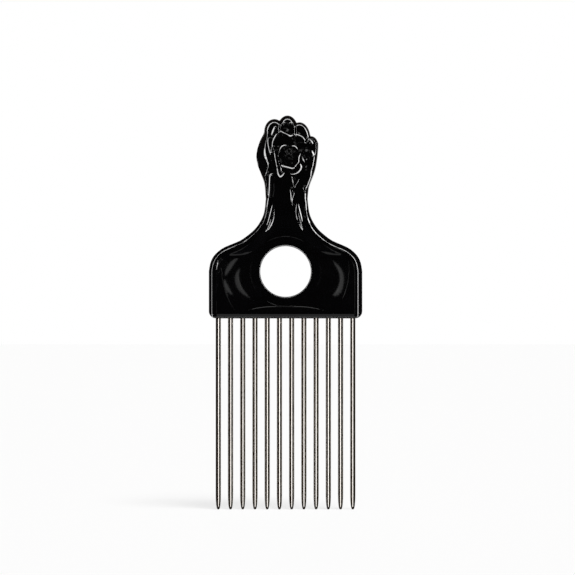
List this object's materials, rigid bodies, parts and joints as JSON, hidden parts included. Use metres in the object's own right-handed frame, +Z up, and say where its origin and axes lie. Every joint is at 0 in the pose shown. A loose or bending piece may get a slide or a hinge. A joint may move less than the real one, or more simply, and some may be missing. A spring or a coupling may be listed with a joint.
{
  "type": "afro pick",
  "caption": "Black moulded pick handle that ends in a raised fist, with a round hanging window and a row of long straight round steel tines.",
  "frame": {"origin": "centre of the round hanging window, midway through the block's thickness", "axes": "+Z up along the tines towards the fist, +X to the right seen from the front, -Y out of the front face, where the fingers are curled"},
  "size_m": [0.066, 0.0139, 0.1699],
  "materials": {
    "black_plastic": "high-gloss black moulded styrene, with soft mould edges",
    "tine_steel": "bright drawn wire, nickel plated, with fine lengthwise grain"
  },
  "bodies": {
    "root": {"handle": "black_plastic", "tine_01": "tine_steel", "tine_02": "tine_steel", "tine_03": "tine_steel", "tine_04": "tine_steel", "tine_05": "tine_steel", "tine_06": "tine_steel", "tine_07": "tine_steel", "tine_08": "tine_steel", "tine_09": "tine_steel", "tine_10": "tine_steel", "tine_11": "tine_steel", "tine_12": "tine_steel"}
  },
  "joints": []
}
